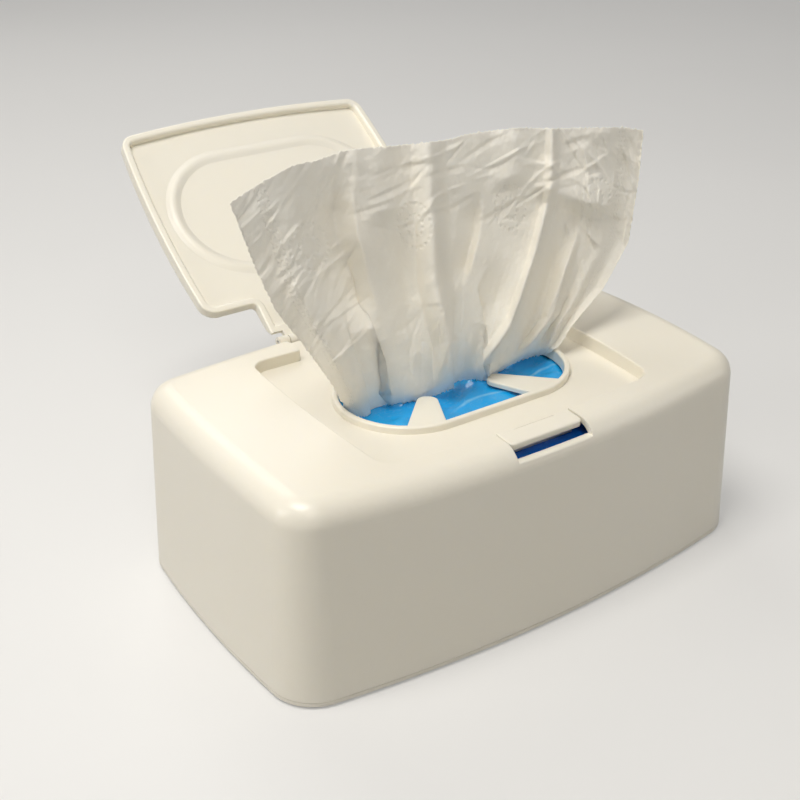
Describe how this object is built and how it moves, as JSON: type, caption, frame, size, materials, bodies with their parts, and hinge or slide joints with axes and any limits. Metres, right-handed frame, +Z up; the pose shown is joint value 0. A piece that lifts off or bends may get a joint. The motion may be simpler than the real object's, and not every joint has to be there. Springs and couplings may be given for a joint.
{
  "type": "wipes dispenser",
  "caption": "Flip-lid wipes dispenser box with bowed sides, a recessed oval mouth with gripping prongs, a press tab and a wipe drawn up from its pack.",
  "frame": {"origin": "on the table, under the middle of the box", "axes": "+X along the long side, to the right seen from the press tab; -Y to the front, where the press tab is; +Z up"},
  "size_m": [0.1898, 0.2025, 0.1503],
  "materials": {
    "housing": "moulded warm white plastic with a soft gloss",
    "lid": "moulded warm white plastic with a soft gloss",
    "tab": "moulded warm white plastic with a soft gloss",
    "base": "moulded warm white plastic, a little duller",
    "seal": "soft white elastomer",
    "foot": "matt grey-white rubber",
    "pin": "drawn steel wire",
    "film": "glossy blue packing film",
    "wipes": "thin white embossed nonwoven, crumpled"
  },
  "bodies": {
    "base": {"base_plate": "base", "foot_pads": "foot", "wipes_pouch": "film", "wipes_stack": "wipes"},
    "housing": {"housing_shell": "housing", "hinge_pin": "pin", "wipe_sheet": "wipes"},
    "lid": {"lid": "lid", "lid_seal": "seal"},
    "latch": {"latch_tab": "tab"}
  },
  "joints": [
    {"name": "housing_lift", "type": "slide", "parent": "base", "child": "housing", "axis": [0, 0, 1], "range_m": [0, 0.075]},
    {"name": "lid_hinge", "type": "hinge", "parent": "housing", "child": "lid", "pos_m": [0, 0.0587, 0.0633], "axis": [1, 0, 0], "range_deg": [0, 142.8], "deforming": ["wipe_sheet"]},
    {"name": "latch_press", "type": "hinge", "parent": "housing", "child": "latch", "pos_m": [0, -0.0449, 0.0628], "axis": [1, 0, 0], "range_deg": [0, 8], "stiffness_Nm_per_rad": 0.14}
  ]
}
